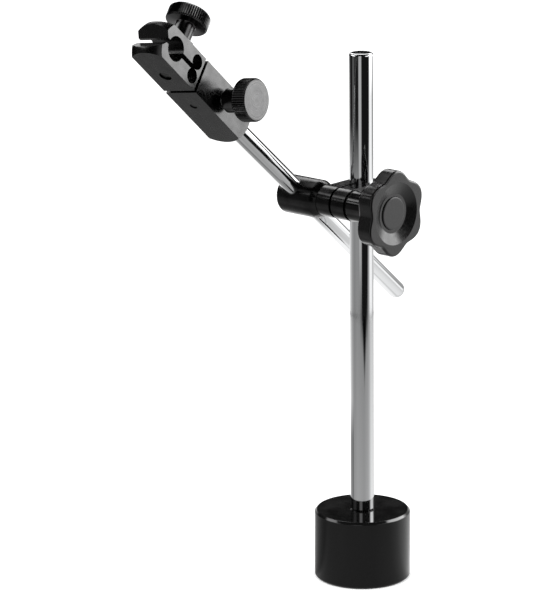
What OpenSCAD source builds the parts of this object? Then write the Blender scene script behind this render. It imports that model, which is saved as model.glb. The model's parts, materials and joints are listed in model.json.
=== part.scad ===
// Small gauge stand: round magnetic foot, column, cross clamp, arm and fine-adjusting gauge holder.
// The origin is at the centre of the foot's underside. +Z runs up the column, and +X runs along
// the cross clamp's bolt towards the star knob. The gauge arm hangs in a plane square to X.

/* [Foot] */
// Diameter of the magnetic foot
foot_d = 32.4; // [30:0.1:36]
// Height of the magnetic foot
foot_h = 23.5; // [21:0.5:30]
// Diameter of the pole piece in the underside
pole_d = 18; // [16:0.5:19]
// Wall of the foot's steel housing
housing_wall = 3; // [2.5:0.1:3.5]

/* [Column] */
// Diameter of the column
column_d = 8; // [7:0.5:9]
// Length of column above the foot
column_len = 157; // [130:1:190]

/* [Cross clamp] */
// Height of the clamp's bolt above the table
clamp_z = 131.9; // [105:0.1:140]
// Distance from the column's axis to the bolt's axis
bolt_offset = 11; // [10.6:0.1:12.5]
// Diameter of the bolt's shank
bolt_d = 6; // [5:0.5:6.5]
// Diameter of the bolt's head, which the arm goes through
eye_d = 9; // [8.5:0.1:9.4]
// Diameter of the two split ears
ear_d = 10.4; // [9.6:0.1:11]
// Half of the width over the two ears
ear_reach = 5.85; // [5.6:0.05:6.4]
// Width of the slit between the ears
slit_w = 0.9; // [0.6:0.1:1.2]
// Diameter of the sleeve around the arm
sleeve_d = 12.9; // [11.8:0.1:13.4]
// Length of that sleeve along the bolt
sleeve_len = 16.8; // [15.2:0.2:18]
// Place of the arm along the bolt, left of the column's axis
arm_x = 16.3; // [15.9:0.1:16.6]

/* [Star knob] */
// Diameter over the star knob's lobes
star_d = 28.6; // [26:0.2:32]
// Number of lobes
star_lobes = 6; // [5:1:8]
// Turn of the star knob as it stands
star_turn = 27; // [0:1:60]
// Thickness of the star knob's rim
star_rim = 6; // [5:0.5:7]
// Distance from the column's axis to the front of the rim
star_front = 24.4; // [23.4:0.2:27]
// Diameter of the steel bush in the star knob
bush_d = 10.4; // [9.6:0.1:11]

/* [Arm] */
// Diameter of the gauge arm
arm_d = 6; // [5:0.5:6.4]
// Arm's angle below the horizontal, from the holder down to the tail
arm_dip = 41.1; // [30:0.5:55]
// Length of arm from the bolt to the tail end
arm_tail = 66.6; // [50:0.2:75]

/* [Gauge holder] */
// Side of the square holder
holder_w = 12; // [11.4:0.1:12.8]
// Distance along the arm from the bolt to the holder's square rear corners
holder_start = 46.5; // [44:0.5:50]
// Length of the rear block along its corners
rear_len = 26.6; // [25.6:0.1:31]
// Wall of the front block behind the two relief holes
front_wall = 0.8; // [0.6:0.1:4]
// Gap between the two blocks
block_gap = 1.2; // [0.9:0.1:1.5]
// Turn of the holder on the arm
holder_roll = 9.4; // [-20:0.1:30]
// Lean of the holder off the arm's line, towards the clamp screw
holder_lean = 1.5; // [0:0.1:3]
// Radius of the turned ends
dome_r = 10.8; // [10:0.1:14]
// Diameter of the bore for the gauge's stem
gauge_bore_d = 8; // [6:0.5:8.5]
// Width of the slit between the jaws
jaw_slit = 1.7; // [0.6:0.1:2]
// Diameter of the two relief holes at the end of the slit
relief_d = 5; // [4:0.1:5.2]
// Angle of the vee across the front of the jaws
mouth_angle = 100; // [60:5:110]

/* [Thumb screws] */
// Diameter of the two knurled thumb knobs
thumb_d = 14; // [12:0.2:15]
// Thickness of the fine screw's knob
fine_knob_t = 5.6; // [4:0.2:6]
// Thickness of the clamp screw's knob
clamp_knob_t = 4.6; // [4:0.2:6]
// Diameter of the two screws' threads
thumb_thread_d = 4; // [3:0.5:4]

/* [Hidden] */
$fn = 64;

eps = 0.01;
// Radial clearance of everything that turns or slides
running = 0.05;
// Radial clearance of a column, an arm or a gauge stem in its clamp
clamping = 0.04;
// Free gap between faces that turn against each other
face_gap = 0.15;
// Clearance of pieces that are fixed together
fixed = 0.02;

// Foot
edge_bevel = 0.7;
spigot_d = column_d - 2;
spigot_len = 9;
socket_room = 0.5;
magnet_h = 8;
pole_h = 4;
cup_depth = magnet_h + pole_h;

// Cross clamp
ear_x = ear_reach;
block_step = 0.35;
block_x = ear_reach - block_step;
clamp_wall = 2.6;
clamp_back = column_d / 2 + clamp_wall;
sleeve_x1 = -ear_x - face_gap;
sleeve_x0 = sleeve_x1 - sleeve_len;
cone_len = 2.2;
sleeve_round = 1.2;
sleeve_edge_gap = 0.1;
eye_inset = 0.6;
eye_wall = 2.2;
eye_x0 = sleeve_x0 + eye_inset;
eye_x1 = -arm_x + arm_d / 2 + eye_wall;
eye_room = 0.3;
washer_x0 = ear_x + face_gap;
washer_t = 0.5;
washer_inset = 0.6;
bush_x0 = washer_x0 + washer_t + 0.05;
bolt_end_gap = 0.8;

// Star knob
star_back = star_front - star_rim;
hub_len = 3.4;
hub_d = 17;
hub_taper = 1;
hub_back = star_back - hub_len;
bush_x1 = star_front - 4;
bush_shoulder = 0.6;
bush_grip_d = bush_d - 2 * bush_shoulder;
dish_d = star_d * 0.7;
dish_depth = 1.5;
dish_floor_d = 12.4;
cap_d = 10.8;
cap_t = 2;
cap_front = star_front - 1.1;
cap_back = cap_front - cap_t;
cap_peg_d = 8;
cap_peg_len = 0.8;
lobe_r = star_d * 0.125;
lobe_at = star_d / 2 - lobe_r;
core_r = star_d * 0.435;

// Holder: distances along the arm from the bolt's axis
rear_front = holder_start + rear_len;
front_back = rear_front + block_gap;
half = holder_w / 2;
corner_r = half * sqrt(2);
dome_drop = sqrt(dome_r * dome_r - corner_r * corner_r);
arm_stop = holder_start + 9;
// Least wall between two neighbouring holes of the front block
web = 0.4;
relief_at = front_back + front_wall + relief_d / 2;
relief_c = relief_d / 2 + 0.06;
clamp_screw_at = relief_at + relief_d / 2 + web + thumb_thread_d / 2;
gauge_at = clamp_screw_at + thumb_thread_d / 2 + web + gauge_bore_d / 2;
holder_end = gauge_at + gauge_bore_d / 2 + 0.6;
mouth_root = holder_end + web;
pivot_at = rear_front - 7.8;
fine_arm = 5.8;
fine_at = pivot_at - fine_arm;
pin_d = 2.5;
slot_back = fine_at - 3.2;
slot_c = 2.7;
slot_b0 = -4.3;
slot_b1 = 2.8;
tongue_c = slot_c - 0.2;
tongue_b0 = -1.9;
tongue_b1 = 1.9;
tongue_back = fine_at - 2.4;
set_screw_at = holder_start + 4.5;
set_screw_d = 3;
set_screw_inset = 0.4;
hex_depth = 1.4;
hex_d = 1.5;
arm_room = 0.3;
pin_inset = 0.3;

// Thumb screws: distances from the holder's axis
fine_tip = tongue_b1 + 0.45;
fine_hub_d = 8;
fine_knob_out = 19;
fine_knob_in = fine_knob_out - fine_knob_t;
fine_hub_len = 5.6;
fine_hub_in = fine_knob_in - fine_hub_len;
fine_chamfer = 0.9;
face_chamfer = 0.3;
fine_cap = 1.5;
clamp_cap = 1.2;
clamp_chamfer = 0.5;
washer_c0 = half;
clamp_washer_t = 1.2;
clamp_washer_d = 10;
clamp_neck_len = 6.3;
clamp_knob_in = half + clamp_washer_t + clamp_neck_len;
clamp_neck_d = 6.5;
clamp_tip_inset = 0.5;
clamp_tip = -half + clamp_tip_inset;

// Spring between the tongue and the far wall
spring_d = 3;
spring_wire = 0.5;
spring_turns = 4;
spring_gap = 0.05;
spring_len = tongue_b0 - slot_b0;

module along_x(x0, x1, d1, d2) {
    translate([x0, 0, 0]) rotate([0, 90, 0]) cylinder(h = x1 - x0, d1 = d1, d2 = d2);
}

module rod_x(x0, x1, d) {
    along_x(x0, x1, d, d);
}

module rod_y(y0, y1, d) {
    translate([0, y0, 0]) rotate([-90, 0, 0]) cylinder(h = y1 - y0, d = d);
}

// The clamp bolt's own frame: X along the bolt, origin on the bolt beside the column
module at_bolt() {
    translate([0, -bolt_offset, clamp_z]) children();
}

// The arm's own frame: Z along the arm towards the holder, origin where it crosses the bolt
module at_arm() {
    at_bolt() translate([-arm_x, 0, 0]) rotate([90 - arm_dip, 0, 0]) children();
}

// The holder's own frame: X out of the fine screw's face, Y out of the clamp screw's face
module at_holder() {
    at_arm() rotate([0, 0, holder_roll]) translate([0, 0, holder_start]) rotate([-holder_lean, 0, 0])
        translate([0, 0, -holder_start]) children();
}

module foot_housing() {
    color("#1b1b1d") difference() {
        union() {
            cylinder(h = edge_bevel, d1 = foot_d - edge_bevel, d2 = foot_d);
            translate([0, 0, edge_bevel]) cylinder(h = foot_h - 2 * edge_bevel, d = foot_d);
            translate([0, 0, foot_h - edge_bevel])
                cylinder(h = edge_bevel, d1 = foot_d, d2 = foot_d - 2 * edge_bevel);
        }
        translate([0, 0, -1]) cylinder(h = cup_depth + 1, d = foot_d - 2 * housing_wall);
        translate([0, 0, foot_h - spigot_len - socket_room])
            cylinder(h = spigot_len + socket_room + 1, d = spigot_d + 2 * running);
    }
}

module holding_magnet() {
    color("#5a5a5c") translate([0, 0, pole_h]) cylinder(h = magnet_h - fixed, d = pole_d);
}

module pole_piece() {
    color("#8c8c90") cylinder(h = pole_h - fixed, d = pole_d);
}

module spacer_ring() {
    color("#b08d57") difference() {
        cylinder(h = cup_depth - fixed, d = foot_d - 2 * housing_wall - 2 * fixed);
        translate([0, 0, -1]) cylinder(h = cup_depth + 2, d = pole_d + 2 * fixed);
    }
}

module column() {
    end_round = 1;
    color("#d9dadc") {
        translate([0, 0, foot_h - spigot_len])
            cylinder(h = spigot_len + face_gap + eps, d = spigot_d);
        translate([0, 0, foot_h + face_gap])
            cylinder(h = column_len - face_gap - end_round, d = column_d);
        translate([0, 0, foot_h + column_len - end_round])
            rotate_extrude() union() {
                square([column_d / 2 - end_round, end_round]);
                intersection() {
                    translate([column_d / 2 - end_round, 0]) circle(r = end_round);
                    square([column_d, end_round]);
                }
            }
    }
}

module column_clamp() {
    color("#151517") difference() {
        at_bolt() union() {
            rod_x(-ear_x, ear_x, ear_d);
            translate([-block_x, 0, -ear_d / 2]) cube([2 * block_x, bolt_offset + clamp_back, ear_d]);
        }
        translate([0, 0, clamp_z - ear_d]) cylinder(h = 2 * ear_d, d = column_d + 2 * clamping);
        translate([-slit_w / 2, -bolt_offset - ear_d, clamp_z - ear_d])
            cube([slit_w, bolt_offset + ear_d, 2 * ear_d]);
        at_bolt() rod_x(-ear_x - 1, ear_x + 1, bolt_d + 2 * running);
    }
}

module eye_bolt() {
    color("#c8c9cb") difference() {
        at_bolt() union() {
            rod_x(eye_x0, eye_x1, eye_d);
            rod_x(eye_x1 - eps, bush_x1 - bolt_end_gap, bolt_d);
        }
        at_arm() translate([0, 0, -eye_d]) cylinder(h = 2 * eye_d, d = arm_d + 2 * clamping);
    }
}

module arm_sleeve() {
    color("#151517") difference() {
        at_bolt() union() {
            translate([sleeve_x0, 0, 0]) rotate([0, 90, 0]) rotate_extrude() union() {
                translate([0, sleeve_round]) square([sleeve_d / 2, sleeve_len - cone_len - sleeve_round]);
                square([sleeve_d / 2 - sleeve_round, sleeve_round + eps]);
                intersection() {
                    translate([sleeve_d / 2 - sleeve_round, sleeve_round]) circle(r = sleeve_round);
                    square([sleeve_d, sleeve_round + eps]);
                }
            }
            along_x(sleeve_x1 - cone_len, sleeve_x1, sleeve_d, ear_d + 2 * sleeve_edge_gap);
        }
        at_bolt() rod_x(sleeve_x0 - 1, eye_x1 + eye_room, eye_d + 2 * running);
        at_bolt() rod_x(eye_x1, sleeve_x1 + 1, bolt_d + 2 * running);
        at_arm() translate([0, 0, -sleeve_d]) cylinder(h = 2 * sleeve_d, d = arm_d + 2 * clamping);
    }
}

module thrust_washer() {
    color("#9a9b9d") at_bolt() difference() {
        rod_x(washer_x0, washer_x0 + washer_t, ear_d - 2 * washer_inset);
        rod_x(washer_x0 - 1, washer_x0 + 2, bolt_d + 2 * running);
    }
}

module knob_bush() {
    color("#c8c9cb") at_bolt() difference() {
        union() {
            rod_x(bush_x0, hub_back, bush_d);
            rod_x(hub_back - eps, bush_x1, bush_grip_d);
        }
        rod_x(bush_x0 - 1, bush_x1 + 1, bolt_d + 2 * running);
    }
}

module star_outline() {
    circle(r = core_r);
    for (i = [0 : star_lobes - 1]) rotate(star_turn + i * 360 / star_lobes)
        translate([lobe_at, 0]) circle(r = lobe_r);
}

module star_knob() {
    color("#4a4a4c") at_bolt() difference() {
        union() {
            translate([star_back, 0, 0]) rotate([90, 0, 90]) linear_extrude(star_rim) star_outline();
            along_x(hub_back, star_back + eps, hub_d - 2 * hub_taper, hub_d);
        }
        along_x(star_front - dish_depth, star_front + eps, dish_floor_d, dish_d);
        rod_x(hub_back - 1, bush_x1 + fixed, bush_grip_d + 2 * fixed);
        rod_x(cap_back - fixed, star_front + 1, cap_d + 2 * fixed);
        rod_x(cap_back - cap_peg_len - fixed, cap_back, cap_peg_d + 2 * fixed);
    }
}

module knob_cap() {
    color("#4a4a4c") at_bolt() {
        rod_x(cap_back, cap_front, cap_d);
        rod_x(cap_back - cap_peg_len, cap_back + eps, cap_peg_d);
    }
}

module gauge_arm() {
    color("#d9dadc") at_arm() {
        translate([0, 0, -arm_tail + arm_d / 2]) cylinder(h = arm_tail + arm_stop - arm_d / 2, d = arm_d);
        translate([0, 0, -arm_tail + arm_d / 2]) intersection() {
            sphere(d = arm_d);
            translate([-arm_d, -arm_d, -arm_d]) cube([2 * arm_d, 2 * arm_d, arm_d]);
        }
    }
}

// A square bar from z0 to z1 with one end turned to a dome: end = -1 rear, 1 front
module domed_bar(z0, z1, end) {
    centre = end < 0 ? z0 + dome_drop : z1 - dome_drop;
    intersection() {
        translate([-half, -half, z0 - (end < 0 ? dome_r : 0)])
            cube([holder_w, holder_w, z1 - z0 + dome_r]);
        union() {
            translate([0, 0, centre]) sphere(r = dome_r, $fn = 96);
            translate([-half, -half, end < 0 ? centre : z0])
                cube([holder_w, holder_w, end < 0 ? z1 - centre : centre - z0]);
        }
    }
}

module holder_body() {
    color("#2a2a2c") at_holder() difference() {
        domed_bar(holder_start, rear_front, -1);
        translate([0, 0, holder_start]) rotate([holder_lean, 0, 0]) translate([0, 0, -dome_r])
            cylinder(h = arm_stop + dome_r - holder_start + arm_room, d = arm_d + 2 * clamping);
        translate([slot_b0, -slot_c, slot_back])
            cube([slot_b1 - slot_b0, 2 * slot_c, rear_front - slot_back + 1]);
        translate([0, 0, fine_at]) rod_x(0, half + 1, thumb_thread_d + 2 * running);
        translate([0, 0, pivot_at]) rod_y(-half - 1, half + 1, pin_d + 2 * fixed);
        translate([0, 0, set_screw_at]) rod_x(-half - 1, 0, set_screw_d + 2 * fixed);
    }
}

module arm_set_screw() {
    color("#3a3a3c") at_holder() translate([0, 0, set_screw_at]) difference() {
        rod_x(-half + set_screw_inset, -arm_d / 2 - face_gap, set_screw_d);
        rod_x(-half - 1, -half + hex_depth, hex_d);
    }
}

module gauge_jaws() {
    color("#2a2a2c") at_holder() difference() {
        union() {
            domed_bar(front_back, holder_end, 1);
            translate([tongue_b0, -tongue_c, tongue_back])
                cube([tongue_b1 - tongue_b0, 2 * tongue_c, front_back - tongue_back + eps]);
        }
        translate([0, 0, gauge_at]) rod_x(-half - 1, half + 1, gauge_bore_d + 2 * clamping);
        translate([-half - 1, -jaw_slit / 2, relief_at])
            cube([holder_w + 2, jaw_slit, holder_end - relief_at + dome_r]);
        translate([-half - 1, 0, 0]) rotate([90, 0, 90]) linear_extrude(holder_w + 2) polygon([
            [-jaw_slit / 2, mouth_root - eps], [jaw_slit / 2, mouth_root - eps],
            [jaw_slit / 2 + dome_r * tan(mouth_angle / 2), mouth_root + dome_r],
            [-jaw_slit / 2 - dome_r * tan(mouth_angle / 2), mouth_root + dome_r]]);
        for (side = [-1, 1]) translate([0, side * relief_c, relief_at])
            rod_x(-half - 1, half + 1, relief_d);
        translate([0, 0, clamp_screw_at]) rod_y(-half - 1, half + 1, thumb_thread_d + 2 * running);
        translate([0, 0, pivot_at]) rod_y(-half, half, pin_d + 2 * running);
    }
}

module pivot_pin() {
    color("#9a9b9d") at_holder() translate([0, 0, pivot_at])
        rod_y(-half + pin_inset, half - pin_inset, pin_d);
}

// A stack of wire rings with the coil's diameter and length
module return_spring() {
    color("#b9babc") at_holder() translate([slot_b0, 0, fine_at]) rotate([0, 90, 0])
        for (i = [0 : spring_turns - 1]) translate([0, 0, spring_wire / 2 + spring_gap
            + i * (spring_len - spring_wire - 2 * spring_gap) / (spring_turns - 1)])
            rotate_extrude() translate([spring_d / 2 - spring_wire / 2, 0]) circle(d = spring_wire, $fn = 16);
}

module fine_screw() {
    color("#3a3a3c") at_holder() translate([0, 0, fine_at])
        rod_x(fine_tip, fine_knob_out - fine_cap, thumb_thread_d);
}

module fine_knob() {
    color("#3a3a3c") at_holder() translate([0, 0, fine_at]) difference() {
        union() {
            rod_x(fine_hub_in, fine_knob_in + eps, fine_hub_d);
            along_x(fine_knob_in, fine_knob_in + fine_chamfer, thumb_d - 2 * fine_chamfer, thumb_d);
            rod_x(fine_knob_in + fine_chamfer, fine_knob_out - face_chamfer, thumb_d);
            along_x(fine_knob_out - face_chamfer, fine_knob_out, thumb_d, thumb_d - 2 * face_chamfer);
        }
        rod_x(fine_hub_in - 1, fine_knob_out - fine_cap + fixed, thumb_thread_d + 2 * fixed);
    }
}

module clamp_screw() {
    color("#3a3a3c") at_holder() translate([0, 0, clamp_screw_at])
        rod_y(clamp_tip, clamp_knob_in + clamp_knob_t - clamp_cap, thumb_thread_d);
}

module clamp_knob() {
    seat = half + clamp_washer_t + face_gap;
    color("#3a3a3c") at_holder() translate([0, 0, clamp_screw_at]) rotate([-90, 0, 0]) difference() {
        union() {
            translate([0, 0, seat]) cylinder(h = clamp_knob_in - seat + eps, d = clamp_neck_d);
            translate([0, 0, clamp_knob_in])
                cylinder(h = clamp_chamfer, d1 = thumb_d - 2 * clamp_chamfer, d2 = thumb_d);
            translate([0, 0, clamp_knob_in + clamp_chamfer])
                cylinder(h = clamp_knob_t - 2 * clamp_chamfer, d = thumb_d);
            translate([0, 0, clamp_knob_in + clamp_knob_t - clamp_chamfer])
                cylinder(h = clamp_chamfer, d1 = thumb_d, d2 = thumb_d - 2 * clamp_chamfer);
        }
        cylinder(h = clamp_knob_in + clamp_knob_t - clamp_cap + fixed,
            d = thumb_thread_d + 2 * fixed);
    }
}

module clamp_washer() {
    color("#1b1b1d") at_holder() translate([0, 0, clamp_screw_at]) difference() {
        rod_y(washer_c0, washer_c0 + clamp_washer_t, clamp_washer_d);
        rod_y(washer_c0 - 1, washer_c0 + clamp_washer_t + 1, thumb_thread_d + 2 * running);
    }
}

foot_housing();
holding_magnet();
pole_piece();
spacer_ring();
column();
column_clamp();
eye_bolt();
arm_sleeve();
thrust_washer();
knob_bush();
star_knob();
knob_cap();
gauge_arm();
holder_body();
arm_set_screw();
gauge_jaws();
pivot_pin();
return_spring();
fine_screw();
fine_knob();
clamp_screw();
clamp_knob();
clamp_washer();
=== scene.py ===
import json
import math

import bmesh
import bpy
from mathutils import Matrix, Vector


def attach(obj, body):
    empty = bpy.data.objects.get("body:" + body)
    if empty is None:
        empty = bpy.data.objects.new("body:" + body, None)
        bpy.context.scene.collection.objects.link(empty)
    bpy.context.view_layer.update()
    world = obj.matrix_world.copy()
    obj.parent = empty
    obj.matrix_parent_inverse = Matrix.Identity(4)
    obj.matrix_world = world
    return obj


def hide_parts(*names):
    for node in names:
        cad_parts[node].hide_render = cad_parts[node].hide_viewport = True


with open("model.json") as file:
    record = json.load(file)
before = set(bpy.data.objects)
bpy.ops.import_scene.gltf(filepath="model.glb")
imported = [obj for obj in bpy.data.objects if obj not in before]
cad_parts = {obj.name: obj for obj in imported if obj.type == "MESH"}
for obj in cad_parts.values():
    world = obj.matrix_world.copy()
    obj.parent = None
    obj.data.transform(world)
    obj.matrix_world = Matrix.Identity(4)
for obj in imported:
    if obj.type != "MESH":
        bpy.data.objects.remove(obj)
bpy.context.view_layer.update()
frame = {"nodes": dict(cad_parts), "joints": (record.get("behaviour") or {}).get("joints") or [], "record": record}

MM = 0.001
TAU = 2 * math.pi

# ---------------------------------------------------------------- the frame's own lines and places

joints = {j["name"]: j for j in frame["joints"]}
mounts = {m["name"]: m for m in frame["record"]["mounts"]}

bolt_at = Vector(joints["arm_tilt"]["pos_m"])
arm_at = Vector(joints["holder_roll"]["pos_m"])
arm_axis = Vector(joints["arm_reach"]["axis"]).normalized()
pivot_at = Vector(joints["gauge_tilt"]["pos_m"])
fine_axis = Vector(mounts["gauge_bore"]["axis"]).normalized()
clamp_axis = Vector(joints["clamp_knob_turn"]["axis"]).normalized()
holder_axis = fine_axis.cross(clamp_axis).normalized()


def basis(x, y, z, origin):
    """The matrix of a frame with these three axes and this origin."""
    m = Matrix((x, y, z)).transposed().to_4x4()
    m.translation = origin
    return m


X, Y, Z = Vector((1, 0, 0)), Vector((0, 1, 0)), Vector((0, 0, 1))
column_frame = Matrix.Identity(4)
# Z runs along the bolt towards the star knob
bolt_frame = basis(Y, Z, X, Vector((0, bolt_at.y, bolt_at.z)))
# Z runs along the arm towards the holder
arm_frame = basis(X, arm_axis.cross(X), arm_axis, arm_at)
# Z runs through the holder to its jaws, X out of the fine screw's face, Y out of the clamp screw's
holder_frame = basis(fine_axis, clamp_axis, holder_axis, pivot_at)


def on_axis(joint):
    """The point of the holder's own axis beside a joint."""
    return pivot_at + holder_axis * (Vector(joints[joint]["pos_m"]) - pivot_at).dot(holder_axis)


# Z runs out of the holder along each thumb screw
fine_frame = basis(clamp_axis, holder_axis, fine_axis, on_axis("fine_knob_turn"))
thumb_frame = basis(holder_axis, fine_axis, clamp_axis, on_axis("clamp_knob_turn"))


def extent(node, matrix):
    """The lowest and highest corner of a CAD node in a local frame, in millimetres."""
    to_local = matrix.inverted()
    points = [to_local @ v.co / MM for v in frame["nodes"][node].data.vertices]
    low = Vector(min(p[i] for p in points) for i in range(3))
    high = Vector(max(p[i] for p in points) for i in range(3))
    return low, high


# ---------------------------------------------------------------- materials

# Most of a noise texture's values lie between these two
NOISE_LOW, NOISE_HIGH = 0.3, 0.7
RING_DETAIL = 2.25


class Shader:
    """A node material with a few short ways of adding nodes."""

    def __init__(self, name, color, metallic, roughness, **sockets):
        self.material = bpy.data.materials.new(name)
        self.material.use_nodes = True
        self.tree = self.material.node_tree
        self.bsdf = self.tree.nodes["Principled BSDF"]
        self.put("Base Color", (*color, 1))
        self.put("Metallic", metallic)
        self.put("Roughness", roughness)
        for key, value in sockets.items():
            self.put(key.replace("_", " "), value)
        self.coords = self.tree.nodes.new("ShaderNodeTexCoord").outputs["Object"]

    def put(self, socket, value):
        self.bsdf.inputs[socket].default_value = value

    def node(self, kind, **settings):
        n = self.tree.nodes.new(kind)
        for key, value in settings.items():
            setattr(n, key, value)
        return n

    def link(self, a, b):
        self.tree.links.new(a, b)

    def stretched(self, scale):
        """Object coordinates in metres, stretched by a factor on each axis."""
        m = self.node("ShaderNodeMapping")
        m.inputs["Scale"].default_value = scale
        self.link(self.coords, m.inputs["Vector"])
        return m.outputs["Vector"]

    def noise(self, scale, detail=4, stretch=(1, 1, 1)):
        n = self.node("ShaderNodeTexNoise")
        n.inputs["Scale"].default_value = scale
        n.inputs["Detail"].default_value = detail
        self.link(self.stretched(stretch), n.inputs["Vector"])
        return n.outputs["Fac"]

    def radius(self):
        """Distance from the object's own Z axis."""
        flat = self.stretched((1, 1, 0))
        length = self.node("ShaderNodeVectorMath", operation="LENGTH")
        self.link(flat, length.inputs[0])
        return length.outputs["Value"]

    def rings(self, pitch):
        """Turning marks: rings round the Z axis, a pitch apart in metres, a little uneven."""
        n = self.node("ShaderNodeTexNoise", noise_dimensions="1D")
        n.inputs["Scale"].default_value = 1 / pitch
        n.inputs["Detail"].default_value = RING_DETAIL
        self.link(self.radius(), n.inputs["W"])
        return n.outputs["Fac"]

    def spread(self, fac, low, high):
        """Spreads the middle of a noise's values over the range from low to high."""
        r = self.node("ShaderNodeMapRange")
        r.inputs["From Min"].default_value = NOISE_LOW
        r.inputs["From Max"].default_value = NOISE_HIGH
        r.inputs["To Min"].default_value = low
        r.inputs["To Max"].default_value = high
        self.link(fac, r.inputs["Value"])
        return r.outputs["Result"]

    def rough(self, fac, low, high):
        self.link(self.spread(fac, low, high), self.bsdf.inputs["Roughness"])

    def tint(self, fac, dark, light):
        m = self.node("ShaderNodeMix", data_type="RGBA")
        m.inputs["A"].default_value = (*dark, 1)
        m.inputs["B"].default_value = (*light, 1)
        self.link(self.spread(fac, 0, 1), m.inputs["Factor"])
        self.link(m.outputs["Result"], self.bsdf.inputs["Base Color"])

    def bump(self, fac, height, strength):
        b = self.node("ShaderNodeBump")
        b.inputs["Distance"].default_value = height
        b.inputs["Strength"].default_value = strength
        self.link(fac, b.inputs["Height"])
        self.link(b.outputs["Normal"], self.bsdf.inputs["Normal"])


def grey(v, warm=0.0):
    """A grey of this brightness. warm moves it towards red."""
    return (v * (1 + warm), v, v * (1 - warm))


def chrome():
    s = Shader("polished_chrome", (0.56, 0.565, 0.57), 1.0, 0.05)
    s.rough(s.noise(220, 5, (1, 1, 0.12)), 0.035, 0.085)
    s.bump(s.noise(90, 2, (1, 1, 0.06)), 0.00002, 0.35)
    return s.material


def foot_paint():
    s = Shader("foot_black_gloss", grey(0.004), 0.0, 0.1, Specular_IOR_Level=0.55)
    s.rough(s.noise(160, 6), 0.05, 0.13)
    s.bump(s.noise(1400, 3), 0.000003, 0.2)
    return s.material


def foot_side():
    s = Shader("foot_black_side", grey(0.0025), 0.0, 0.16, Specular_IOR_Level=0.22)
    s.tint(s.noise(90, 5, (1, 1, 0.3)), grey(0.002), grey(0.0035))
    s.rough(s.noise(200, 5, (1, 1, 0.25)), 0.1, 0.2)
    s.bump(s.noise(900, 3, (1, 1, 0.5)), 0.000003, 0.25)
    return s.material


def black_oxide(name, shade=0.035, low=0.16, high=0.28):
    s = Shader(name, grey(shade), 1.0, 0.22)
    s.tint(s.noise(260, 6), grey(shade * 0.75), grey(shade * 1.3))
    s.rough(s.noise(420, 5), low, high)
    s.bump(s.noise(900, 3), 0.000006, 0.35)
    return s.material


def anodised(name, shade=0.058):
    s = Shader(name, grey(shade), 1.0, 0.28)
    s.tint(s.noise(350, 6), grey(shade * 0.88), grey(shade * 1.12))
    s.rough(s.noise(500, 4, (1, 1, 0.4)), 0.2, 0.3)
    s.bump(s.noise(2600, 2), 0.000005, 0.35)
    return s.material


def moulded(name, shade):
    s = Shader(name, grey(shade, 0.01), 0.0, 0.25, Specular_IOR_Level=0.42)
    s.tint(s.noise(420, 6), grey(shade * 0.85), grey(shade * 1.15))
    s.rough(s.noise(700, 4), 0.16, 0.27)
    s.bump(s.noise(3200, 2), 0.000006, 0.3)
    return s.material


def turned_face(name, shade, low=0.24, high=0.42):
    s = Shader(name, grey(shade), 1.0, 0.3)
    s.tint(s.noise(500, 5), grey(shade * 0.9), grey(shade * 1.1))
    s.rough(s.rings(0.0004), low, high)
    s.bump(s.rings(0.00022), 0.000012, 0.6)
    return s.material


def steel(name, shade, low=0.22, high=0.36):
    s = Shader(name, grey(shade), 1.0, 0.28)
    s.tint(s.noise(380, 5), grey(shade * 0.9), grey(shade * 1.08))
    s.rough(s.noise(500, 4, (1, 1, 9)), low, high)
    s.bump(s.noise(700, 3, (0.2, 0.2, 12)), 0.000006, 0.4)
    return s.material


def brass():
    s = Shader("spacer_brass", (0.62, 0.45, 0.2), 1.0, 0.3)
    s.tint(s.noise(240, 6), (0.5, 0.36, 0.16), (0.68, 0.5, 0.24))
    s.rough(s.rings(0.0005), 0.25, 0.42)
    s.bump(s.rings(0.0003), 0.00001, 0.5)
    return s.material


CHROME = chrome()
FOOT = foot_paint()
FOOT_SIDE = foot_side()
CLAMP = black_oxide("clamp_black")
SLEEVE = black_oxide("sleeve_black", 0.03)
HOLDER = anodised("holder_black")
KNOB = moulded("knob_plastic", 0.003)
CAP = moulded("cap_plastic", 0.006)
THUMB = black_oxide("thumb_black", 0.07, 0.14, 0.24)
THUMB_FACE = turned_face("thumb_face", 0.075)
BUSH = black_oxide("bush_black", 0.05, 0.08, 0.16)
BOLT = steel("bolt_steel", 0.5)
DARK_STEEL = steel("dark_steel", 0.06)
GROUND_STEEL = turned_face("ground_steel", 0.45)
MAGNET = steel("magnet_grey", 0.18, 0.4, 0.55)
BRASS = brass()


# ---------------------------------------------------------------- mesh building, in millimetres


# Sides of a turned piece
FINE = 128
SMALLEST = 1e-6


def filleted(corners, steps=5):
    """Plain points of a profile of (radius, z, fillet) corners, each rounded by its fillet."""
    points = []
    last = len(corners) - 1
    for i, (r, z, fillet) in enumerate(corners):
        here = Vector((r, z))
        if fillet <= 0 or i in (0, last):
            points.append((r, z))
            continue
        back = (Vector(corners[i - 1][:2]) - here).normalized()
        ahead = (Vector(corners[i + 1][:2]) - here).normalized()
        half_angle = back.angle(ahead) / 2
        reach = fillet / math.tan(half_angle)
        centre = here + (back + ahead).normalized() * fillet / math.sin(half_angle)
        start = here + back * reach - centre
        end = here + ahead * reach - centre
        turn = start.angle_signed(end)
        for k in range(steps + 1):
            p = centre + Matrix.Rotation(-turn * k / steps, 2) @ start
            points.append((p.x, p.y))
    return points


def grid(bm, rows, closed=True):
    """Faces between neighbouring rows of vertices. A row of one vertex closes to a point."""
    for a, b in zip(rows, rows[1:]):
        n = max(len(a), len(b))
        for i in range(n if closed else n - 1):
            j = (i + 1) % n
            quad = [a[i % len(a)], a[j % len(a)], b[j % len(b)], b[i % len(b)]]
            corners = list(dict.fromkeys(quad))
            if len(corners) > 2:
                bm.faces.new(corners)


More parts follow.
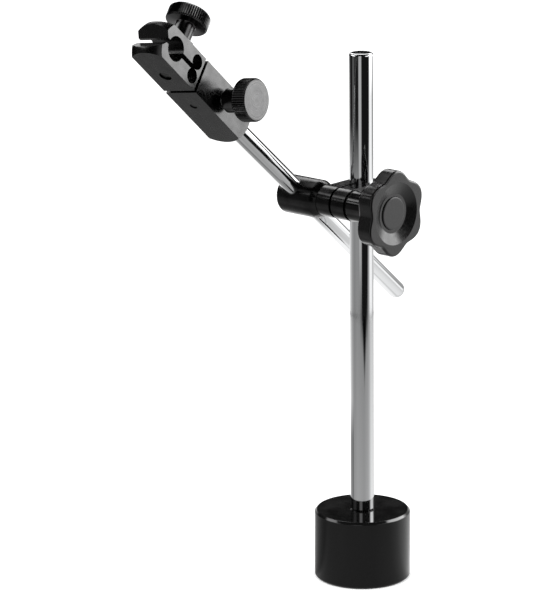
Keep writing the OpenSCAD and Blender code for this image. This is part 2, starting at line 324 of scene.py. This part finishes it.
def lathe(profile, segments=FINE, radius_at=None):
    """Turns a profile of (radius, z) about Z. radius_at(angle, radius, z) may change the radius."""
    bm = bmesh.new()
    rows = []
    for r, z in profile:
        if r < SMALLEST:
            rows.append([bm.verts.new((0, 0, z))])
            continue
        row = []
        for i in range(segments):
            t = TAU * i / segments
            reach = radius_at(t, r, z) if radius_at else r
            row.append(bm.verts.new((reach * math.cos(t), reach * math.sin(t), z)))
        rows.append(row)
    grid(bm, rows)
    bmesh.ops.recalc_face_normals(bm, faces=bm.faces)
    return bm


def threaded(r, z0, z1, pitch, depth):
    """A rod with a helical thread cut into it, closed at both ends."""
    segments, rows_a_turn = 48, 8
    steps = max(rows_a_turn, int((z1 - z0) / pitch * rows_a_turn))
    bm = bmesh.new()
    rows = [[bm.verts.new((0, 0, z0))]]
    for k in range(steps + 1):
        z = z0 + (z1 - z0) * k / steps
        row = []
        for i in range(segments):
            t = TAU * i / segments
            phase = (z / pitch - i / segments) % 1
            cut = depth * (1 - abs(2 * phase - 1)) if 0 < k < steps else depth
            row.append(bm.verts.new(((r - cut) * math.cos(t), (r - cut) * math.sin(t), z)))
        rows.append(row)
    rows.append([bm.verts.new((0, 0, z1))])
    grid(bm, rows)
    bmesh.ops.recalc_face_normals(bm, faces=bm.faces)
    return bm


def make(name, bm, matrix, body, materials, replaces, sharp=32, pick=None):
    """Turns a bmesh in millimetres into a piece of the object, in its own frame."""
    bmesh.ops.scale(bm, vec=(MM, MM, MM), verts=bm.verts)
    mesh = bpy.data.meshes.new(name)
    bm.to_mesh(mesh)
    bm.free()
    for m in materials:
        mesh.materials.append(m)
    if pick:
        for face in mesh.polygons:
            face.material_index = pick(face.center / MM, face.normal)
    mesh.polygons.foreach_set("use_smooth", [True] * len(mesh.polygons))
    mesh.set_sharp_from_angle(angle=math.radians(sharp))
    obj = bpy.data.objects.new(name, mesh)
    bpy.context.scene.collection.objects.link(obj)
    obj.matrix_world = matrix
    bpy.context.view_layer.update()
    normals = obj.modifiers.new("normals", "WEIGHTED_NORMAL")
    normals.keep_sharp = True
    normals.weight = 100
    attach(obj, body)
    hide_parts(replaces)
    return obj


def from_cad(node, matrix, bevel):
    """A clean copy of a CAD node in a local frame, its sharp edges rounded, in millimetres."""
    merge, flat, sharp = 0.002, math.radians(1), math.radians(35)
    bm = bmesh.new()
    bm.from_mesh(frame["nodes"][node].data)
    bmesh.ops.transform(bm, matrix=matrix.inverted(), verts=bm.verts)
    bmesh.ops.scale(bm, vec=(1 / MM, 1 / MM, 1 / MM), verts=bm.verts)
    bmesh.ops.remove_doubles(bm, verts=bm.verts, dist=merge)
    bmesh.ops.dissolve_limit(bm, angle_limit=flat, verts=bm.verts, edges=bm.edges)
    bmesh.ops.recalc_face_normals(bm, faces=bm.faces)
    crisp = [e for e in bm.edges if e.is_manifold and e.calc_face_angle(0) > sharp]
    bmesh.ops.bevel(bm, geom=crisp, offset=bevel, segments=3, profile=0.5, affect="EDGES",
                    clamp_overlap=True, offset_type="OFFSET")
    bmesh.ops.recalc_face_normals(bm, faces=bm.faces)
    return bm


# ---------------------------------------------------------------- foot and column


# How far the column's foot is turned down, and the depth of its socket
NECK = 1
SOCKET_DEPTH = 9
GAP = 0.02


def foot():
    high = extent("foot_housing", column_frame)[1]
    r, top = high.x, high.z
    neck = extent("column", column_frame)[1].x - NECK
    ring = extent("spacer_ring", column_frame)[1]
    cup, wall, socket_floor, chamfer = ring.x + GAP, neck + 0.05, top - SOCKET_DEPTH, 0.75
    bm = lathe(filleted([
        (0, ring.z, 0), (cup, ring.z, 0.2), (cup, 0, 0.1), (r - 0.6, 0, 0.3), (r, 0.7, 0.3),
        (r, top - chamfer, 0.3), (r - chamfer, top, 0.25), (neck + 0.5, top, 0.15),
        (wall, top - 0.4, 0), (wall, socket_floor, 0), (0, socket_floor, 0)]), 160)

    def shiny_above_the_side(centre, normal):
        return 0 if centre.z > top - chamfer - 0.1 else 1

    make("foot_body", bm, column_frame, "foot", [FOOT, FOOT_SIDE], "foot_housing",
         pick=shiny_above_the_side)


def column():
    low, high = extent("column", column_frame)
    r, top = high.x, high.z
    shoulder = extent("foot_housing", column_frame)[1].z + 0.15
    neck, chamfer, top_round = r - NECK, 0.35, 0.9
    bm = lathe(filleted([
        (0, low.z, 0), (neck, low.z, 0.3), (neck, shoulder, 0), (r - chamfer, shoulder, 0.1),
        (r, shoulder + chamfer, 0.1), (r, top, top_round), (0, top, 0)], 8), 192)
    make("column_bar", bm, column_frame, "column", [CHROME], "column")


def gauge_arm():
    low, high = extent("gauge_arm", arm_frame)
    r = high.x
    round_tail = r * 0.97
    bm = lathe(filleted([
        (0, low.z, 0), (r, low.z, round_tail), (r, high.z, 0.4), (0, high.z, 0)], 12), 160)
    make("arm_bar", bm, arm_frame, "arm", [CHROME], "gauge_arm")


# ---------------------------------------------------------------- cross clamp and star knob


def cross_clamp():
    make("clamp_lugs", from_cad("column_clamp", bolt_frame, 0.22), bolt_frame, "clamp",
         [CLAMP], "column_clamp")
    make("sleeve", from_cad("arm_sleeve", bolt_frame, 0.18), bolt_frame, "eye",
         [SLEEVE], "arm_sleeve")
    make("eye_bolt_bar", from_cad("eye_bolt", bolt_frame, 0.15), bolt_frame, "eye",
         [BOLT], "eye_bolt")


# How much narrower the bush is inside the star knob
BUSH_STEP = 0.6


def bush():
    low, high = extent("knob_bush", bolt_frame)
    r, inner, chamfer = high.x, 3.05, 0.5
    grip = r - BUSH_STEP
    step = extent("star_knob", bolt_frame)[0].z
    bm = lathe(filleted([
        (inner, low.z, 0), (r - chamfer, low.z, 0.1), (r, low.z + chamfer, 0.15),
        (r, step, 0.1), (grip, step, 0), (grip, high.z, 0), (inner, high.z, 0),
        (inner, low.z, 0)]))
    make("knob_bush_ring", bm, bolt_frame, "star", [BUSH], "knob_bush")


LOBES = 6
RIM = 6
VALLEY = 1.9
ROUNDER_LOBES = 0.85
DISH_DEPTH = 1.5
CAP_PEG_STEP = 1.4
CAP_PEG = 0.8


def star_knob():
    low, high = extent("star_knob", bolt_frame)
    reach = [Vector((v.co.y - bolt_at.y, v.co.z - bolt_at.z)) / MM
             for v in frame["nodes"]["star_knob"].data.vertices]
    tip = max(reach, key=lambda p: p.length)
    peak, top_angle = tip.length - GAP, math.atan2(tip.y, tip.x)
    valley = peak - VALLEY
    front, back = high.z, high.z - RIM
    grip = extent("knob_bush", bolt_frame)[1].x - BUSH_STEP
    cap_low, cap_high = extent("knob_cap", bolt_frame)
    pocket = cap_high.x + 0.03
    dish, dish_floor = peak * 0.7, front - DISH_DEPTH
    hub, hub_root, round_part = 7.5, 8.5, peak * 0.79

    def lobed(t, r, z):
        """The outline's radius: round lobes with slightly narrower hollows between them."""
        if r < round_part + GAP:
            return r
        wave = 0.5 + 0.5 * math.cos(LOBES * (t - top_angle))
        rim = valley + (peak - valley) * wave ** ROUNDER_LOBES
        return rim - (peak - r)

    profile = filleted([
        (grip, low.z, 0), (hub, low.z, 0.6), (hub_root, back, 1.2), (round_part, back, 0),
        (peak, back, 1.3), (peak, front, 0.8), (dish + 0.3, front, 0.5),
        (6.6, dish_floor, 0.8), (pocket, dish_floor, 0.15), (pocket, cap_low.z, 0),
        (grip, cap_low.z, 0), (grip, low.z, 0)], 7)
    make("star_knob_body", lathe(profile, 288, lobed), bolt_frame, "star", [KNOB],
         "star_knob", sharp=40)


def knob_cap():
    low, high = extent("knob_cap", bolt_frame)
    r = high.x
    peg, shoulder = r - CAP_PEG_STEP, low.z + CAP_PEG
    bm = lathe(filleted([
        (0, low.z, 0), (peg, low.z, 0), (peg, shoulder, 0), (r, shoulder, 0),
        (r, high.z - 0.05, 0.15), (r - 0.5, high.z, 0.4), (0, high.z, 0)]))
    make("knob_cap_disc", bm, bolt_frame, "star", [CAP], "knob_cap")


# ---------------------------------------------------------------- gauge holder


def holder():
    make("holder_block", from_cad("holder_body", holder_frame, 0.13), holder_frame, "holder",
         [HOLDER], "holder_body")
    make("jaw_block", from_cad("gauge_jaws", holder_frame, 0.13), holder_frame, "jaws",
         [HOLDER], "gauge_jaws")


TEETH = 56
TOOTH_DEPTH = 0.38
TOOTH_ROUNDING = 1.4
POINTS_A_TOOTH = 8
SCREW_PITCH = 0.7
THREAD_DEPTH = 0.3


def knurl(below):
    """A radius function for straight knurling on everything wider than a given radius."""
    def cut(t, r, z):
        if r < below:
            return r
        phase = (t * TEETH / TAU) % 1
        return r - TOOTH_DEPTH * abs(2 * phase - 1) ** TOOTH_ROUNDING
    return cut


def thumb_knob(end, matrix, thickness, hub_r, chamfer):
    """A knurled knob on its hub, turned on its face. Z runs out of the holder."""
    low, high = extent(end + "_knob", matrix)
    r, top = high.x, high.z
    knob_back = top - thickness
    bore, bore_end = 2.02, extent(end + "_screw", matrix)[1].z + GAP
    edge, middle, sink = 0.5, 3.62, 0.02
    bm = lathe(filleted([
        (0, bore_end, 0), (bore, bore_end, 0), (bore, low.z, 0), (hub_r - 0.25, low.z, 0.1),
        (hub_r, low.z + 0.3, 0.1), (hub_r, knob_back, 0.3), (r - chamfer, knob_back, 0.15),
        (r, knob_back + chamfer, 0.15), (r, top - edge, 0.1), (r - edge, top, 0.1),
        (middle, top, 0), (middle, top - sink, 0), (0, top - sink, 0)], 3),
        TEETH * POINTS_A_TOOTH, knurl(r - chamfer * 0.6))

    def turned(centre, normal):
        return 1 if centre.z > top - 0.2 and normal.z > 0.9 else 0

    make(end + "_thumb_knob", bm, matrix, end + "_thumb",
         [THUMB, THUMB_FACE], end + "_knob", pick=turned)


def thread(end, matrix):
    low, high = extent(end + "_screw", matrix)
    bm = threaded(high.x, low.z, high.z, SCREW_PITCH, THREAD_DEPTH)
    make(end + "_screw_thread", bm, matrix, end + "_thumb", [DARK_STEEL], end + "_screw")


def screws():
    thumb_knob("fine", fine_frame, thickness=5.6, hub_r=4.0, chamfer=0.9)
    thumb_knob("clamp", thumb_frame, thickness=4.6, hub_r=3.25, chamfer=0.5)
    thread("fine", fine_frame)
    thread("clamp", thumb_frame)
    low, high = extent("clamp_washer", thumb_frame)
    inner = 2.1
    washer = lathe(filleted([
        (inner, low.z, 0), (high.x, low.z, 0.1), (high.x, high.z, 0.35), (inner, high.z, 0.1),
        (inner, low.z, 0)]), 96)
    make("clamp_washer_ring", washer, thumb_frame, "jaws", [THUMB],
         "clamp_washer")


# ---------------------------------------------------------------- CAD nodes that keep their shape

KEPT = {"holding_magnet": MAGNET, "pole_piece": GROUND_STEEL, "spacer_ring": BRASS,
        "thrust_washer": DARK_STEEL, "arm_set_screw": DARK_STEEL, "pivot_pin": DARK_STEEL,
        "return_spring": BOLT}


def kept_nodes():
    for node, material in KEPT.items():
        slots = frame["nodes"][node].data.materials
        slots.clear()
        slots.append(material)


# ---------------------------------------------------------------- stage, light and camera


VIEW_AZIMUTH = 40.62
SCREEN_RADIUS = 0.34
DARK = 0.012

# Softboxes that only reflections see: from and to, in degrees round the column (0 towards
# the camera, positive to its right), soft edge in degrees, bottom and top in metres, soft
# edge, strength
SOFTBOXES = (
    (82, 112, 8, -1, 0.14, 0.03, 1.55),
    (92, 128, 9, 0.14, 0.18, 0.04, 4.2),
    (92, 132, 9, 0.21, 0.48, 0.03, 8.0),
    (120, 160, 12, -1, 0.14, 0.03, 0.5),
    (48, 76, 9, 0.27, 0.44, 0.04, 2.2),
    (-22, -4, 8, 0.03, 0.5, 0.04, 0.68),
    (-200, -140, 12, -1, 0.1, 0.03, 0.6),
    (-88, -66, 12, -1, 0.2, 0.05, 0.13),
    (-116, -72, 10, 0.30, 0.44, 0.03, 3.2),
    (-200, -158, 10, 0.30, 0.44, 0.03, 3.2),
    (-150, -105, 12, 0.62, 1.0, 0.05, 1.6),
)

# How brightly the pale table shows in reflections, at angles round the column
TABLE_LIGHT = ((-180, 1.3), (-148, 1.35), (-124, 1.05), (-100, 0.62), (-75, 0.45), (-45, 0.52),
               (20, 0.45), (60, 0.56), (82, 0.85), (94, 1.15), (124, 1.15), (150, 0.8), (180, 1.3))
# The table ends nearer in front of the stand, a little to the camera's right
NEAR_EDGE = 0.27
NEAR_EDGE_AT = 25
NEAR_EDGE_HALF = 20
EDGE_SPREAD = 25
TABLE_RISE = 0.055
# How much darker the table is close to the stand's left
LEFT_SHADE = 0.6


def ramp(value, low, high, soft):
    """1 between low and high, falling to 0 over soft on both sides."""
    return max(0.0, min(1.0, (value - low + soft) / soft, (high + soft - value) / soft))


def past_near_edge(angle):
    """0 where the table ends near the stand, 1 where it goes on."""
    off = abs(angle - NEAR_EDGE_AT)
    return ramp(off, NEAR_EDGE_HALF + EDGE_SPREAD, 360, EDGE_SPREAD)


def table_light(angle, radius):
    for (a, low), (b, high) in zip(TABLE_LIGHT, TABLE_LIGHT[1:]):
        if a <= angle <= b:
            level = low + (high - low) * (angle - a) / (b - a)
    shade = LEFT_SHADE * ramp(angle, -140, -92, 12) * ramp(radius, 0, 0.16, 0.05)
    across = min(1, abs(angle - NEAR_EDGE_AT) / NEAR_EDGE_HALF)
    edge = NEAR_EDGE + (SCREEN_RADIUS - NEAR_EDGE) * across
    ended = (1 - past_near_edge(angle)) * ramp(radius, edge, 1, 0.05)
    return level * (1.25 - 0.4 * radius / SCREEN_RADIUS) * (1 - shade) * (1 - ended)


def screen_light(angle, z):
    total = DARK
    for start, end, soft, bottom, top, edge, strength in SOFTBOXES:
        turns = max(ramp(angle + turn, start, end, soft) for turn in (-360, 0, 360))
        total += strength * turns * ramp(z, bottom, top, edge)
    table_top = TABLE_RISE * (2 * past_near_edge(angle) - 1)
    table = table_light(angle, SCREEN_RADIUS) * ramp(z, -1, table_top, 0.03)
    return max(total, table)


def reflected(name, rows):
    """A glowing sheet that only reflections see. rows holds rows of (x, y, z, strength)."""
    bm = bmesh.new()
    glow = bm.verts.layers.float.new("glow")
    sheet = []
    for row in rows:
        verts = []
        for x, y, z, strength in row:
            verts.append(bm.verts.new((x, y, z)))
            verts[-1][glow] = strength
        sheet.append(verts)
    grid(bm, sheet)
    mesh = bpy.data.meshes.new(name)
    bm.to_mesh(mesh)
    bm.free()
    m = bpy.data.materials.new(name + "_light")
    m.use_nodes = True
    m.node_tree.nodes.clear()
    out = m.node_tree.nodes.new("ShaderNodeOutputMaterial")
    light = m.node_tree.nodes.new("ShaderNodeEmission")
    level = m.node_tree.nodes.new("ShaderNodeAttribute")
    level.attribute_name = "glow"
    m.node_tree.links.new(level.outputs["Fac"], light.inputs["Strength"])
    m.node_tree.links.new(light.outputs["Emission"], out.inputs["Surface"])
    mesh.materials.append(m)
    obj = bpy.data.objects.new(name, mesh)
    bpy.context.scene.collection.objects.link(obj)
    for ray in ("camera", "diffuse", "shadow", "transmission", "volume_scatter"):
        setattr(obj, "visible_" + ray, False)


def round_view(angle, radius, z, strength):
    t = math.radians(VIEW_AZIMUTH + angle)
    return radius * math.sin(t), -radius * math.cos(t), z, strength


def reflections():
    angles = range(-180, 180, 2)
    heights = [0.012 * k for k in range(84)]
    radii = [0.002 + 0.016 * k for k in range(22)]
    table_top = -0.0002
    reflected("screen", [[round_view(a, SCREEN_RADIUS, z, screen_light(a, z)) for a in angles]
                         for z in heights])
    reflected("table", [[round_view(a, r, table_top, table_light(a, r)) for a in angles]
                        for r in radii])


def stage():
    floor_mesh = bpy.data.meshes.new("floor")
    side = 6
    floor_mesh.from_pydata([(-side, -side, 0), (side, -side, 0), (side, side, 0), (-side, side, 0)],
                           [], [(0, 1, 2, 3)])
    floor = bpy.data.objects.new("floor", floor_mesh)
    bpy.context.scene.collection.objects.link(floor)
    s = Shader("floor_pale", (0.9, 0.9, 0.9), 0.0, 0.8, Specular_IOR_Level=0.1,
               Emission_Color=(1, 1, 1, 1), Emission_Strength=0.3)
    floor_mesh.materials.append(s.material)
    floor.visible_glossy = False

    world = bpy.data.worlds.new("studio")
    bpy.context.scene.world = world
    world.use_nodes = True
    nodes, links = world.node_tree.nodes, world.node_tree.links
    back = nodes["Background"]
    back.inputs["Color"].default_value = (1, 1, 1, 1)
    path = nodes.new("ShaderNodeLightPath")
    level = nodes.new("ShaderNodeMapRange")
    level.inputs["To Min"].default_value = 1.0
    level.inputs["To Max"].default_value = DARK
    links.new(path.outputs["Is Glossy Ray"], level.inputs["Value"])
    links.new(level.outputs["Result"], back.inputs["Strength"])


def lamp(name, place, size, power):
    data = bpy.data.lights.new(name, "AREA")
    data.shape = "RECTANGLE"
    data.size, data.size_y = size
    data.energy = power
    obj = bpy.data.objects.new(name, data)
    bpy.context.scene.collection.objects.link(obj)
    obj.location = place
    target = Vector((0, 0, 0.1))
    obj.rotation_euler = (target - Vector(place)).to_track_quat("-Z", "Y").to_euler()
    return obj


def from_camera(right, back, up):
    """A point given as metres to the camera's right, towards the camera and up."""
    a = math.radians(VIEW_AZIMUTH)
    return (right * math.cos(a) + back * math.sin(a), right * math.sin(a) - back * math.cos(a), up)


def lights():
    top = lamp("top", from_camera(0, 0.1, 1.3), (1.2, 1.2), 8)
    left = lamp("key_left", from_camera(-0.9, 0.7, 0.9), (0.6, 0.8), 3)
    top.visible_glossy = left.visible_glossy = False


def camera():
    away, height = 1.133, 0.4017
    turn, pitch, roll = 1.43, 15.0, -0.52
    data = bpy.data.cameras.new("camera")
    data.lens = 213.8
    data.sensor_width = 36
    data.clip_start, data.clip_end = 0.05, 50
    cam = bpy.data.objects.new("camera", data)
    bpy.context.scene.collection.objects.link(cam)
    cam.matrix_world = (Matrix.Translation(from_camera(0, away, height))
                        @ Matrix.Rotation(math.radians(VIEW_AZIMUTH + turn), 4, "Z")
                        @ Matrix.Rotation(math.radians(90 - pitch), 4, "X")
                        @ Matrix.Rotation(math.radians(roll), 4, "Z"))
    bpy.context.scene.camera = cam
    bpy.context.scene.view_settings.view_transform = "Standard"


foot()
column()
gauge_arm()
cross_clamp()
bush()
star_knob()
knob_cap()
holder()
screws()
kept_nodes()
stage()
reflections()
lights()
camera()
